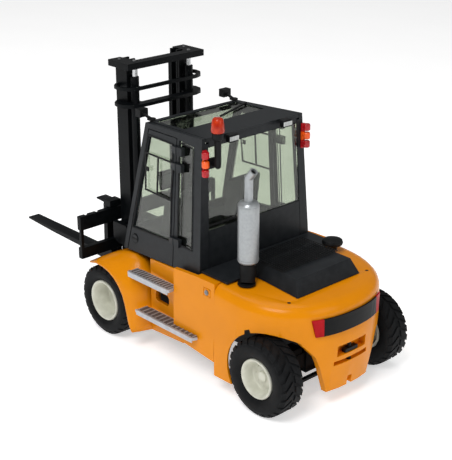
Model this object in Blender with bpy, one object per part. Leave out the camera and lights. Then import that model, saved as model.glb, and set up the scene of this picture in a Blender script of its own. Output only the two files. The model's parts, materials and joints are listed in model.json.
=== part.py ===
"""Counterbalance forklift truck, 1:25 scale model.

Frame: +X towards the forks, +Y to the truck's left, +Z up, origin on the
ground under the middle of the bounding box.  Every length below is in
millimetres and is turned into metres when a mesh is made.
"""
import bpy
import bmesh
import math
from mathutils import Vector
from mathutils.geometry import tessellate_polygon

# ------------------------------------------------------------------ sizes
MM = 0.001
FRONT_X = 18.05          # front (drive) axle
REAR_X = -84.75          # rear (steering) axle
AXLE_Z = 17.0
TYRE_R = 17.0
TYRE_IN, TYRE_OUT = 26.7, 39.7
RIM_FRONT, RIM_REAR = 9.8, 8.8
KINGPIN_Y = 23.3
STEER_ARM = 6.0
BODY_W = 37.5            # half width of the yellow body
WELL_R = 19.0            # rear wheel arch
CW_FRONT = -57.6         # seam between counterweight and side panels
CW_XC = -65.25
CW_A = 37.2              # rear overhang of the counterweight's oval plan
CW_N = 2.3               # exponent of that oval
CAB_WALL = 2.0
MAST_TOP = 128.1
CARRIAGE_W = 41.9
FORK_TIP = 102.4
SHIFT = Vector((0.6, 0.0, 0.0))   # from the drawing datum to the middle of the bounding box
TILT_L = (16.6, 43.0)    # mast pin of the tilt cylinders (x, z)
TILT_B = (-15.0, 28.0)   # chassis pin of the tilt cylinders (x, z)
TILT_Y = 19.1


# ------------------------------------------------------------ cab planes
def cab_y(x, z):
    """outer half width of the cab: the sides lean in upwards and forwards"""
    return 33.7 - 0.0595 * (x + 44.75) - 0.063 * (z - 47.8)


def cab_rear(z):
    return -44.75 + (z - 47.8) * 0.04


def cab_front(z):
    return 12.2 - (z - 43.8) * 0.2367


def cab_bottom(x):
    return 47.9 - 0.0721 * (x + 44.7)


def cab_top(x):
    return 106.7 - (x + 2.35) * 0.0325


# ------------------------------------------------------------- materials
def material(name, color, rough, metal=0.0, alpha=1.0):
    m = bpy.data.materials.get(name)
    if m:
        return m
    m = bpy.data.materials.new(name)
    m.use_nodes = True
    b = m.node_tree.nodes["Principled BSDF"]
    b.inputs["Base Color"].default_value = (*color, 1.0)
    b.inputs["Roughness"].default_value = rough
    b.inputs["Metallic"].default_value = metal
    b.inputs["Alpha"].default_value = alpha
    m.diffuse_color = (*color, alpha)
    return m


YELLOW = dict(color=(0.85, 0.36, 0.005), rough=0.28)
CABGREY = dict(color=(0.030, 0.033, 0.035), rough=0.5)
BLACK = dict(color=(0.012, 0.013, 0.014), rough=0.45)
RUBBER = dict(color=(0.014, 0.014, 0.015), rough=0.75)
CREAM = dict(color=(0.72, 0.72, 0.62), rough=0.4)
SILVER = dict(color=(0.55, 0.56, 0.57), rough=0.35, metal=0.7)
STEEL = dict(color=(0.6, 0.6, 0.6), rough=0.3, metal=1.0)
CLEAR = dict(color=(0.75, 0.85, 0.8), rough=0.05, alpha=0.35)
RED = dict(color=(0.4, 0.01, 0.015), rough=0.2)
AMBER = dict(color=(0.75, 0.08, 0.01), rough=0.2)
SEAT = dict(color=(0.035, 0.037, 0.037), rough=0.7)


# --------------------------------------------------------------- helpers
def region(loops, fa, fb):
    """closed plate between two images, fa and fb, of a flat outline with holes"""
    bm = bmesh.new()
    flat = [p for lp in loops for p in lp]
    tris = tessellate_polygon([[Vector((p[0], p[1], 0.0)) for p in lp] for lp in loops])
    va = [bm.verts.new(fa(p)) for p in flat]
    vb = [bm.verts.new(fb(p)) for p in flat]
    for t in tris:
        bm.faces.new([va[i] for i in t])
        bm.faces.new([vb[i] for i in reversed(t)])
    k = 0
    for lp in loops:
        n = len(lp)
        for i in range(n):
            a, b = k + i, k + (i + 1) % n
            bm.faces.new((va[a], va[b], vb[b], vb[a]))
        k += n
    bmesh.ops.recalc_face_normals(bm, faces=bm.faces[:])
    return bm


def prism_xz(loops, y0, y1):
    return region(loops, lambda p: (p[0], y0, p[1]), lambda p: (p[0], y1, p[1]))


def prism_xy(loops, z0, z1):
    return region(loops, lambda p: (p[0], p[1], z0), lambda p: (p[0], p[1], z1))


def prism_yz(loops, x0, x1):
    return region(loops, lambda p: (x0, p[0], p[1]), lambda p: (x1, p[0], p[1]))


def box(lo, hi):
    return prism_xy([[(lo[0], lo[1]), (hi[0], lo[1]), (hi[0], hi[1]), (lo[0], hi[1])]], lo[2], hi[2])


def circle(cx, cy, r, n=20, a0=0.0, a1=360.0):
    full = abs(a1 - a0) >= 360.0
    m = n if full else n + 1
    return [(cx + r * math.cos(math.radians(a0 + (a1 - a0) * i / n)),
             cy + r * math.sin(math.radians(a0 + (a1 - a0) * i / n))) for i in range(m)]


def loft(rings, cap=True):
    """closed skin through rings of equal point count"""
    bm = bmesh.new()
    rows = [[bm.verts.new(p) for p in r] for r in rings]
    n = len(rings[0])
    for a, b in zip(rows, rows[1:]):
        for i in range(n):
            j = (i + 1) % n
            bm.faces.new((a[i], a[j], b[j], b[i]))
    if cap:
        bm.faces.new(rows[0])
        bm.faces.new(list(reversed(rows[-1])))
    else:
        for i in range(n):
            j = (i + 1) % n
            bm.faces.new((rows[-1][i], rows[-1][j], rows[0][j], rows[0][i]))
    bmesh.ops.recalc_face_normals(bm, faces=bm.faces[:])
    return bm


def turned(profile, centre, axis="z", n=24, phase=0.0):
    """solid of revolution; profile = (radius, height) pairs, starting and
    ending on the axis, or a closed ring where no radius is zero"""
    bm = bmesh.new()

    def place(r, h, a):
        c, s = r * math.cos(a), r * math.sin(a)
        p = {"z": (c, s, h), "y": (c, h, s), "x": (h, c, s)}[axis]
        return (p[0] + centre[0], p[1] + centre[1], p[2] + centre[2])

    ring = all(r > 1e-6 for r, h in profile)
    rows = []
    for r, h in profile:
        if r <= 1e-6:
            rows.append([bm.verts.new(place(0, h, 0))])
        else:
            rows.append([bm.verts.new(place(r, h, phase + 2 * math.pi * i / n)) for i in range(n)])
    pairs = list(zip(rows, rows[1:]))
    if ring:
        pairs.append((rows[-1], rows[0]))
    for a, b in pairs:
        for i in range(n):
            j = (i + 1) % n
            if len(a) == 1:
                bm.faces.new((a[0], b[j], b[i]))
            elif len(b) == 1:
                bm.faces.new((a[i], a[j], b[0]))
            else:
                bm.faces.new((a[i], a[j], b[j], b[i]))
    bmesh.ops.recalc_face_normals(bm, faces=bm.faces[:])
    return bm


def rod(p0, p1, r, n=12, r1=None):
    """round bar from p0 to p1"""
    p0, p1 = Vector(p0), Vector(p1)
    d = (p1 - p0).normalized()
    up = Vector((0, 0, 1)) if abs(d.z) < 0.9 else Vector((1, 0, 0))
    u = d.cross(up).normalized()
    v = d.cross(u)
    r1 = r if r1 is None else r1
    rings = []
    for p, q in ((p0, r), (p1, r1)):
        rings.append([p + u * q * math.cos(2 * math.pi * i / n) + v * q * math.sin(2 * math.pi * i / n)
                      for i in range(n)])
    return loft(rings)


def temp(bm):
    me = bpy.data.meshes.new("t")
    bm.to_mesh(me)
    bm.free()
    ob = bpy.data.objects.new("t", me)
    bpy.context.scene.collection.objects.link(ob)
    ob.hide_render = True
    ob.display_type = "WIRE"
    return ob


def boolean(kind, base, others):
    a = temp(base)
    bs = [temp(o) for o in others]
    for b in bs:
        m = a.modifiers.new("b", "BOOLEAN")
        m.operation = kind
        m.solver = "EXACT"
        m.object = b
    dg = bpy.context.evaluated_depsgraph_get()
    me = bpy.data.meshes.new_from_object(a.evaluated_get(dg))
    bm = bmesh.new()
    bm.from_mesh(me)
    bpy.data.meshes.remove(me)
    for o in [a] + bs:
        old = o.data
        bpy.data.objects.remove(o)
        bpy.data.meshes.remove(old)
    bmesh.ops.remove_doubles(bm, verts=bm.verts[:], dist=1e-4)
    bmesh.ops.dissolve_degenerate(bm, edges=bm.edges[:], dist=1e-4)
    return bm


def union(*bms):
    return boolean("UNION", bms[0], bms[1:])


def minus(base, *cutters):
    return boolean("DIFFERENCE", base, cutters)


def mirrored(bm):
    for v in bm.verts:
        v.co.y = -v.co.y
    bmesh.ops.reverse_faces(bm, faces=bm.faces[:])
    return bm


def put(name, bm, look, mat_name, pivot=(0, 0, 0), smooth=None):
    me = bpy.data.meshes.new(name)
    p = Vector(pivot)
    for v in bm.verts:
        v.co = (v.co - p) * MM
    bm.to_mesh(me)
    bm.free()
    if smooth:
        me.shade_smooth()
        me.set_sharp_from_angle(angle=math.radians(smooth))
    me.materials.append(material(mat_name, **look))
    ob = bpy.data.objects.new(name, me)
    ob.location = (p + SHIFT) * MM
    bpy.context.scene.collection.objects.link(ob)
    return ob


def pair(base, make, look, mat_name, pivot=(0, 0, 0), smooth=None):
    """the left piece and its mirror image on the right"""
    put(base + "_left", make(), look, mat_name, pivot, smooth)
    put(base + "_right", mirrored(make()), look, mat_name, (pivot[0], -pivot[1], pivot[2]), smooth)


# ---------------------------------------------------------- chassis frame
def make_frame():
    parts = [box((-66, -14, 11), (8, 14, 34)), box((6, -8, 12), (14, 8, 28))]
    # rear rail over the steering axle, and the axle beam hung under it
    parts.append(box((-96.4, -12, 27), (-64, 12, 36.0)))
    parts.append(box((-88.5, -13, 12), (-81, 13, 28)))
    parts.append(box((-88, -20.6, 14.7), (-81.5, 20.6, 21.6)))
    for s in (1, -1):
        for z0, z1 in ((22.3, 24.5), (9.5, 11.7)):
            parts.append(box((-87.75, min(s * 15, s * 26), z0), (-81.75, max(s * 15, s * 26), z1)))
        parts.append(box((-87.75, min(s * 15, s * 19.5), 9.5), (-81.75, max(s * 15, s * 19.5), 24.5)))
        # outriggers that carry the side panels and the cab
        parts.append(box((-55, min(s * 10, s * 35.0), 23), (-49, max(s * 10, s * 35.0), 29)))
        parts.append(box((-24, min(s * 10, s * 30.2), 15), (-18, max(s * 10, s * 30.2), 20)))
        parts.append(box((-42, min(s * 8, s * 13), 30), (-36, max(s * 8, s * 13), 46.6)))
        parts.append(box((-3, min(s * 8, s * 13), 30), (3, max(s * 8, s * 13), 43.9)))
        # pins of the tilt cylinders
        parts.append(rod((TILT_B[0], s * 13, TILT_B[1]), (TILT_B[0], s * 21.6, TILT_B[1]), 0.9, 8))
        parts.append(rod((TILT_B[0], s * 13, TILT_B[1]), (TILT_B[0], s * 16.6, TILT_B[1]), 2.2, 10))
    # drive axle: differential housing, axle tubes, hub flanges and stubs
    half = [(2.2, 0), (2.2, 24.0), (3.1, 24.4), (3.1, 27.2), (2.0, 27.2), (2.0, 29.3), (0, 29.3)]
    prof = [(r, -y) for r, y in reversed(half)] + half[1:]
    parts.append(box((10, -7, 11.0), (18, 7, 23.0)))
    parts.append(turned(prof, (FRONT_X, 0, AXLE_Z), "y", 14))
    frame = union(*parts)
    holes = [rod((REAR_X, s * KINGPIN_Y, 8), (REAR_X, s * KINGPIN_Y, 26), 1.5, 10) for s in (1, -1)]
    return minus(frame, *holes)


# ----------------------------------------------------------- front fender
FENDER_TOP = [(26.0, 35.7), (21.0, 38.4), (15.5, 40.8), (9.5, 42.6), (3.5, 43.2), (-1.2, 41.4),
              (-4.6, 37.0), (-6.9, 31.0), (-8.1, 25.0), (-8.6, 18.5), (-8.7, 13.0), (-8.7, 9.3)]
FENDER_LIP = [(26.0, 35.2), (21.2, 36.3), (16.4, 36.1), (11.8, 35.0), (7.6, 32.9), (4.1, 29.9),
              (1.4, 26.0), (-0.4, 21.6), (-1.6, 17.0), (-2.6, 13.2), (-3.6, 11.0), (-4.6, 9.0)]


def fender_rings():
    rings = []
    for k, ((tx, tz), (lx, lz)) in enumerate(zip(FENDER_TOP, FENDER_LIP)):
        dx, dz = lx - FRONT_X, lz - AXLE_Z
        d = math.hypot(dx, dz)
        ux, uz = dx / d, dz / d
        inner = max(18.3, min(d - 0.7, 19.6))
        if k >= 9:
            inner = d - 0.8
        # the wheel well follows the tyre; the skin blends from the flat top to the lip
        wx, wz = FRONT_X + ux * inner, AXLE_Z + uz * inner
        mx, mz = 0.45 * tx + 0.55 * lx, 0.45 * tz + 0.55 * lz
        bulge = 1.1 * math.sin(math.pi * min(1.0, k / 9.0))
        mx, mz = mx + ux * bulge, mz + uz * bulge
        qx, qz = 0.85 * tx + 0.15 * lx, 0.85 * tz + 0.15 * lz
        rings.append([(tx, 25.7, tz), (tx, 31.2, tz), (qx, 33.4, qz + 0.1), (mx, 37.2, mz),
                      (lx, 40.3, lz), (wx, 40.3, wz), (wx, 33.0, wz), (wx, 25.7, wz)])
    return rings


def make_fender():
    return loft(fender_rings())


# -------------------------------------------------------------- side body
def side_out(z):
    """the body side leans in slightly towards its top"""
    return 37.5 - max(0.0, (z - 14.0)) * 0.022


def make_body_side():
    panel = region([[(-57.3, 13.6), (-31.0, 16.4), (-31.0, 48.9), (-45.2, 49.7), (-57.3, 49.9)]],
                   lambda p: (p[0], side_out(p[1]), p[1]), lambda p: (p[0], side_out(p[1]) - 2.0, p[1]))
    ret = region([[(-33.0, 16.2), (-31.0, 16.4), (-31.0, 46.0), (-33.0, 46.0)]],
                 lambda p: (p[0], side_out(p[1]) - 0.1, p[1]), lambda p: (p[0], 31.6, p[1]))

    def wall_y(x):
        return 33.4 + (x + 31.0) * (32.0 - 33.4) / 22.0
    hole = [(-22.75, 27.0), (-21.75, 26.0), (-13.75, 26.0), (-12.75, 27.0),
            (-12.75, 30.0), (-13.75, 31.0), (-21.75, 31.0), (-22.75, 30.0)]
    wall = region([[(-33.0, 12.0), (-9.1, 9.6), (-9.1, cab_bottom(-9.1) - 0.4), (-33.0, cab_bottom(-33.0) - 0.4)],
                   hole],
                  lambda p: (p[0], wall_y(p[0]), p[1]), lambda p: (p[0], wall_y(p[0]) - 1.6, p[1]))
    top_rear = box((-57.3, 31.0, 48.4), (-45.3, 36.0, 49.9))
    top_side = box((-45.5, 34.1, 46.4), (-31.0, 36.0, 48.2))
    return union(panel, ret, wall, top_rear, top_side)


# ---------------------------------------------------------- counterweight
CW_RINGS = [(7.4, 0.0, 1.0), (20.0, 0.0, 0.0), (28.4, 0.0, -0.5), (33.3, 0.0, -0.2), (34.3, 0.0, 0.0),
            (40.0, 0.0, 0.0), (43.5, 0.15, 0.0), (45.9, 0.9, 0.0), (47.4, 2.4, 0.0), (48.2, 4.8, 0.0)]


def cw_edge(y, z):
    """rear surface of the counterweight at a height"""
    for (z0, i0, o0), (z1, i1, o1) in zip(CW_RINGS, CW_RINGS[1:]):
        if z0 <= z <= z1:
            t = (z - z0) / (z1 - z0)
            ins, off = i0 + (i1 - i0) * t, o0 + (o1 - o0) * t
            break
    w = BODY_W - ins
    return CW_XC - (CW_A - off - ins) * (1.0 - (abs(y) / w) ** CW_N) ** (1.0 / CW_N)


def cw_ring(z, ins, off, n=24):
    pts = [(CW_FRONT, BODY_W - ins)]
    for i in range(n + 1):
        a = math.pi / 2 - math.pi * i / n
        c, s = max(0.0, math.cos(a)), math.sin(a)
        x = CW_XC - (CW_A - off - ins) * c ** (2.0 / CW_N)
        y = (BODY_W - ins) * math.copysign(abs(s) ** (2.0 / CW_N), s)
        pts.append((x, y))
    pts.append((CW_FRONT, -(BODY_W - ins)))
    out = []
    for x, y in pts:
        lift = max(0.0, x + 88.0) * 0.055 * max(0.0, (z - 36.0) / 12.2)
        out.append((x, y, z + lift))
    return out


def make_counterweight():
    body = loft([cw_ring(*r) for r in CW_RINGS])
    # the hollow follows the oval skin, which stays two millimetres thick beside the tongue
    rim = [-35.0 + 2.5 * i for i in range(29)]
    hollow = [(max(-97.2, cw_edge(y, 34.3) + 2.0), y) for y in rim]
    cuts = [prism_xy([hollow + [(-50, 35.0), (-50, -35.0)]], -5, 36.3)]
    for s in (1, -1):
        cuts.append(rod((REAR_X, s * 24, AXLE_Z), (REAR_X, s * 60, AXLE_Z), WELL_R, 36))
        # the front corner of a turned tyre needs more room on the inside of the skin
        relief = circle(REAR_X, AXLE_Z, WELL_R + 1.6, 20, -90, 70) + [(REAR_X, AXLE_Z)]
        cuts.append(prism_xz([relief], min(s * 24, s * 36.6), max(s * 24, s * 36.6)))
    tongue = [(12.8, -5), (12.8, 8), (16.7, 20), (18.8, 25.3), (24.0, 31.7), (30.0, 35.2), (36.0, 36.3),
              (60, 36.3), (60, -5)]
    cuts.append(prism_yz([tongue], -125, REAR_X))
    cuts.append(prism_yz([[(-y, z) for y, z in tongue]], -125, REAR_X))
    # coupling recess, the slot under it, the pin's bore and the notch in the lower edge
    cuts.append(box((-110, -8.7, 23.2), (-98.6, 8.7, 28.2)))
    cuts.append(box((-110, -10.2, 19.2), (-98.8, 10.2, 21.2)))
    cuts.append(rod((-100.7, 0, 16.4), (-100.7, 0, 33.2), 1.25, 12))
    cuts.append(box((-110, -1.4, 5), (-99.4, 1.4, 11.5)))
    for s in (1, -1):
        cuts.append(rod((-88.35, s * 24, 43), (-88.35, s * 24, 52), 0.8, 12))
    return minus(body, *cuts)


# ------------------------------------------------------- hood and the deck
def make_hood():
    lower = [(-88.5, -19.1, 48.55), (-60.0, -18.4, 50.12), (-60.0, 18.4, 50.12), (-88.5, 19.1, 48.55)]
    upper = [(-85.2, -16.5, 55.2), (-63.6, -15.2, 56.3), (-63.6, 15.2, 56.3), (-85.2, 16.5, 55.2)]
    frustum = loft([lower, upper])
    deck = box((-61.5, -33.3, 50.25), (-45.3, 33.3, 51.05))
    return union(frustum, deck)


# ------------------------------------------------------------------- cab
def make_cab_side():
    outline = [(-44.6, 48.0), (-25.7, cab_bottom(-25.7)), (-25.7, 104.8), (-5.0, 104.3), (-4.1, 101.0),
               (9.2, cab_bottom(9.2)), (12.0, cab_bottom(12.0)), (cab_front(106.4), 106.4),
               (-42.3, cab_top(-42.3))]
    window = [(-38.8, 57.7), (-27.7, 57.7), (-27.2, 104.2), (-37.2, 103.7)]
    side = region([outline, window], lambda p: (p[0], cab_y(*p), p[1]),
                  lambda p: (p[0], cab_y(*p) - CAB_WALL, p[1]))
    ret = region([[(0.0, 48.3), (1.0, 48.3), (1.0, 105.4), (0.0, 105.4)]],
                 lambda p: (cab_rear(p[1]) + 0.05, rear_inner(p[1]) if p[0] == 0.0 else cab_y(-44, p[1]) - 0.4, p[1]),
                 lambda p: (cab_rear(p[1]) + 1.65, rear_inner(p[1]) if p[0] == 0.0 else cab_y(-44, p[1]) - 0.4, p[1]))
    parts = [side, ret]
    # hinge blocks on the rear door post
    for z in (99.8, 92.5, 59.0):
        y = cab_y(-29, z)
        parts.append(box((-30.6, y - 0.4, z - 1.8), (-27.4, y + 1.5, z + 1.8)))
        parts.append(box((-30.6, y - 0.45, z - 1.8), (-26.3, y - 0.1, z + 1.8)))
    return union(*parts)


def rear_inner(z):
    """inner edge of the rear corner posts"""
    return 28.4 - (z - 48.0) * 0.035


def make_cab_tub():
    def wide(p, s):
        y = cab_y(p[0], p[1]) - CAB_WALL - GAP_CAB
        return (p[0], s * y, p[1])
    floor_s = region([[(-42.4, 47.85), (12.0, cab_bottom(12.0)), (cab_front(46.0), 46.0), (-42.4, 49.9)]],
                     lambda p: wide(p, 1), lambda p: wide(p, -1))
    front = region([[(12.0, cab_bottom(12.0)), (cab_front(55.0), 55.0), (cab_front(55.0) - 1.8, 55.0),
                     (10.2 - 1.0, cab_bottom(9.2))]],
                   lambda p: wide(p, 1), lambda p: wide(p, -1))

    def rear(p, s):
        return (p[0], s * (rear_inner(p[1]) - 0.3), p[1])
    back = region([[(-44.7, 48.0), (-42.0, 47.9), (-42.0, 67.4), (cab_rear(67.4), 67.4)]],
                  lambda p: rear(p, 1), lambda p: rear(p, -1))
    return union(floor_s, front, back)


GAP_CAB = 0.3


def make_roof():
    def edge(x, z, s):
        return s * (cab_y(x, z) - CAB_WALL - 0.3)
    xs = [-42.3, -24.6, -5.6, cab_front(106.2) - 0.1]
    outline = [(xs[0], -1), (xs[3], -1), (xs[3], 1), (xs[0], 1)]
    kf = 23.8
    hole = [(-24.6, -kf), (-5.6, -kf), (-5.6, kf), (-24.6, kf)]

    def lift(p, dz):
        z = cab_top(p[0]) - dz
        y = edge(p[0], z, p[1]) if abs(p[1]) == 1 else p[1]
        return (p[0], y, z)
    # the outline is given as edge signs; the tessellation needs true widths
    loops = [[(p[0], p[1] * 28.0) for p in outline], hole]

    def fix(p):
        return (p[0], math.copysign(1, p[1])) if abs(p[1]) == 28.0 else p
    slab = region(loops, lambda p: lift(fix(p), 0.0), lambda p: lift(fix(p), 1.8))

    def bar(poly, inner=None):
        def f(p, s):
            y = cab_y(p[0], p[1]) - CAB_WALL - 0.3
            if inner:
                y = min(y, inner(p[1]) - 0.3)
            return (p[0], s * y, p[1])
        return region([poly], lambda p: f(p, 1), lambda p: f(p, -1))
    rear = bar([(cab_rear(104.0), 104.0), (cab_rear(107.0), 107.0), (-40.6, 107.0), (-40.6, 104.0)], rear_inner)
    front = bar([(cab_front(102.6), 102.6), (cab_front(106.0), 106.0), (cab_front(106.0) - 2.6, 106.0),
                 (cab_front(102.6) - 1.6, 102.6)])
    return union(slab, rear, front)


def make_windscreen():
    poly = [(cab_front(55.3) - 0.4, 55.3), (cab_front(102.3) - 0.4, 102.3),
            (cab_front(102.3) - 1.2, 102.3), (cab_front(55.3) - 1.2, 55.3)]
    f = lambda p, s: (p[0], s * (cab_y(p[0], p[1]) - CAB_WALL - 0.3), p[1])
    return region([poly], lambda p: f(p, 1), lambda p: f(p, -1))


def make_rear_window():
    poly = [(cab_rear(67.7) + 0.4, 67.7), (cab_rear(103.7) + 0.4, 103.7),
            (cab_rear(103.7) + 1.2, 103.7), (cab_rear(67.7) + 1.2, 67.7)]
    f = lambda p, s: (p[0], s * (rear_inner(p[1]) - 0.3), p[1])
    return region([poly], lambda p: f(p, 1), lambda p: f(p, -1))


def make_roof_glass():
    return region([[(-24.3, -23.5), (-5.9, -23.5), (-5.9, 23.5), (-24.3, 23.5)]],
                  lambda p: (p[0], p[1], cab_top(p[0]) - 0.4), lambda p: (p[0], p[1], cab_top(p[0]) - 1.2))


def make_quarter_glass():
    return region([[(-38.5, 58.0), (-28.0, 58.0), (-27.5, 103.9), (-36.9, 103.4)]],
                  lambda p: (p[0], cab_y(*p) - 0.85, p[1]), lambda p: (p[0], cab_y(*p) - 1.65, p[1]))


# ------------------------------------------------------------------ doors
HINGE_X = -26.4
DOOR_GLASS = [(4.6, 56.3), (-5.9, 100.9), (-22.9, 101.2), (-22.9, 57.6)]


def hinge_point(z):
    return (HINGE_X, cab_y(HINGE_X, z) + 0.9, z)


def make_door():
    outline = [(-25.2, cab_bottom(-25.2) + 0.1), (8.6, cab_bottom(8.6) + 0.1), (-4.6, 101.0), (-5.4, 103.9),
               (-25.2, 104.4)]
    d = region([outline, DOOR_GLASS], lambda p: (p[0], cab_y(*p), p[1]),
               lambda p: (p[0], cab_y(*p) - 1.8, p[1]))
    parts = [d]
    for z in (99.8, 92.5, 59.0):
        y = cab_y(-25, z)
        a, b = hinge_point(z - 1.6), hinge_point(z + 1.6)
        parts.append(rod(a, b, 0.7, 10))
        parts.append(box((HINGE_X, y + 0.35, z - 1.5), (-23.9, y + 1.45, z + 1.5)))
        parts.append(box((-25.0, y - 0.8, z - 1.5), (-23.9, y + 1.45, z + 1.5)))
    y = cab_y(3.1, 50.9)
    parts.append(rod((3.1, y - 0.9, 50.9), (3.1, y + 0.35, 50.9), 2.2, 16))
    return union(*parts)


def make_door_glass():
    c = (sum(p[0] for p in DOOR_GLASS) / 4, sum(p[1] for p in DOOR_GLASS) / 4)
    pts = []
    for x, z in DOOR_GLASS:
        pts.append((x + math.copysign(0.45, c[0] - x), z + math.copysign(0.35, c[1] - z)))
    return region([pts], lambda p: (p[0], cab_y(*p) - 0.6, p[1]), lambda p: (p[0], cab_y(*p) - 1.4, p[1]))


# --------------------------------------------------------------- interior
def make_seat():
    return union(prism_xz([[(-33.5, 49.6), (-14.5, 48.2), (-14.5, 57.5), (-33.5, 57.5)]], -8.5, 8.5),
                 box((-34.0, -9.0, 57.0), (-13.0, 9.0, 62.0)),
                 prism_xz([[(-35.0, 58.0), (-30.5, 58.0), (-34.0, 84.0), (-38.0, 84.0)]], -8.5, 8.5))


def make_dashboard():
    desk = prism_xz([[(-1.5, 47.3), (7.8, 46.6), (4.4, 66.0), (-0.5, 67.0)]], -11.0, 11.0)
    screen = prism_xz([[(-5.4, 74.0), (-4.2, 74.0), (-2.6, 82.0), (-3.8, 82.2)]], 10.5, 21.0)
    arm = prism_xz([[(-2.0, 60.0), (1.0, 60.0), (-3.0, 76.0), (-4.6, 76.0)]], 9.5, 12.0)
    column = rod((0.5, 0, 63.0), (-4.3, 0, 69.6), 1.2, 12)
    return union(desk, arm, screen, column)


WHEEL_C = Vector((-5.6, 0.0, 71.4))
WHEEL_AX = Vector((-0.588, 0.0, 0.809))


def make_steering_wheel():
    u, v = Vector((0, 1, 0)), WHEEL_AX.cross(Vector((0, 1, 0)))
    rings = []
    n, m, big, small = 20, 6, 5.6, 0.55
    for i in range(n):
        a = 2 * math.pi * i / n
        d = u * math.cos(a) + v * math.sin(a)
        rings.append([WHEEL_C + d * (big + small * math.cos(2 * math.pi * j / m)) +
                      WHEEL_AX * small * math.sin(2 * math.pi * j / m) for j in range(m)])
    rim = loft(rings, cap=False)
    parts = [rim]
    for k in range(3):
        a = math.radians(90 + 120 * k)
        d = u * math.cos(a) + v * math.sin(a)
        parts.append(rod(WHEEL_C + d * 0.4 - WHEEL_AX * 0.3, WHEEL_C + d * big, 0.4, 6))
    parts.append(rod(WHEEL_C - WHEEL_AX * 1.2, WHEEL_C + WHEEL_AX * 0.8, 1.3, 10))
    return union(*parts)


# ------------------------------------------------------- exhaust, cleaner
def make_muffler():
    c = (-64.25, 24.0, 0)
    body = turned([(0, 58.6), (3.9, 58.6), (4.5, 59.4), (4.5, 84.4), (3.9, 85.4), (1.8, 85.6), (1.8, 96.6), (0, 96.6)],
                  c, "z", 16)
    elbow = rod((-64.0, 24.0, 95.4), (-67.2, 24.0, 99.2), 1.75, 12)
    bore = rod((-65.6, 24.0, 97.3), (-68.0, 24.0, 100.15), 1.25, 10)
    return minus(union(body, elbow), bore)


def make_elbow():
    a = turned([(0, 52.4), (3.6, 52.4), (3.6, 58.3), (0, 58.3)], (-64.6, 24.3, 0), "z", 14)
    b = rod((-64.6, 24.3, 54.5), (-66.05, 26.2, 50.15), 3.3, 14)
    foot = turned([(0, 49.85), (3.9, 49.85), (3.9, 50.6), (0, 50.6)], (-66.05, 26.5, 0), "z", 14)
    return minus(union(a, b, foot), box((-75, 15, 40), (-55, 35, 49.85)), box((-61.6, 10, 49.5), (-55, 30, 60)))


def make_precleaner():
    return turned([(0, 49.9), (2.2, 49.9), (2.2, 51.4), (3.4, 51.9), (4.6, 52.6), (4.8, 53.6), (4.4, 54.6),
                   (2.6, 55.2), (0, 55.4)], (-64.9, -27.6, 0), "z", 18)


# ------------------------------------------------------------------ lamps
def make_beacon_pole():
    c = (-46.9, 25.1, 0)
    pole = turned([(0, 95.6), (0.8, 95.6), (1.4, 96.4), (1.5, 98.0), (1.5, 107.6), (2.3, 108.4), (2.5, 110.9),
                   (0, 110.9)], c, "z", 12)
    arm = box((-46.9, 24.2, 96.4), (-43.1, 26.2, 98.6))
    pad = box((-44.4, 24.0, 95.2), (-43.15, 27.8, 99.6))
    return union(pole, arm, pad)


def make_beacon_lens():
    return turned([(0, 111.2), (2.7, 111.2), (2.9, 111.8), (2.75, 114.0), (2.4, 116.6), (1.8, 117.4), (0, 117.6)],
                  (-46.9, 25.1, 0), "z", 16)


def make_rear_light():
    body = box((-47.0, 13.3, 105.2), (-44.4, 18.5, 108.4))
    arm = box((-45.0, 15.0, 105.6), (-42.95, 16.8, 107.4))
    return union(body, arm)


def make_front_light():
    base = turned([(0, 107.25), (2.0, 107.25), (2.0, 107.8), (0, 107.8)], (-3.3, 24.6, 0), "z", 12)
    stem = rod((-3.0, 24.5, 107.5), (1.9, 25.0, 108.9), 0.7, 8)
    head = box((1.4, 22.6, 107.5), (4.7, 27.2, 111.1))
    return union(base, stem, head)


def make_tail_lamp():
    bar = box((-44.0, 28.4, 92.2), (-42.95, 30.2, 103.6))
    parts = [bar]
    for z in (101.9, 98.0, 94.1):
        parts.append(turned([(0, z - 1.5), (1.4, z - 1.5), (1.65, z - 1.1), (1.65, z + 1.1), (1.4, z + 1.5),
                             (0, z + 1.5)], (-44.9, 30.2, 0), "z", 10))
    return union(*parts)


def make_light_bar():
    rings = []
    n = 14
    for i in range(n + 1):
        t = -1 + 2 * i / n
        yt, yb = 20.9 * t, 19.3 * t
        out = []
        for y, z, d in ((yb, 34.9, 0.35), (yt, 42.6, 0.35), (yt, 42.6, 1.1), (yb, 34.9, 1.1)):
            out.append((cw_edge(y, z) - d, y, z))
        rings.append(out)
    return loft(rings)


def make_tow_pin():
    pin = rod((-100.7, 0, 17.0), (-100.7, 0, 29.6), 0.9, 12)
    bar = box((-102.2, -3.8, 23.5), (-99.9, 3.8, 25.0))
    return union(pin, bar)


# ------------------------------------------------------------------ steps
def make_lower_step():
    tread = prism_xy([[(-11.6, 33.7), (-7.4, 40.3), (-8.4, 40.5), (-46.6, 40.5), (-47.7, 38.0), (-30.7, 38.0),
                       (-30.7, 33.7)]], 20.7, 22.0)
    lip = box((-46.6, 39.9, 19.7), (-8.4, 40.5, 21.2))
    return union(tread, lip)


def make_upper_step():
    tread = prism_xy([[(-5.6, 33.8), (-1.6, 38.8), (-2.3, 39.9), (-30.0, 39.9), (-30.7, 39.2), (-30.7, 33.8)]],
                     37.7, 39.0)
    lip = box((-30.0, 39.2, 36.5), (-2.4, 39.9, 38.4))
    return union(tread, lip)


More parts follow.
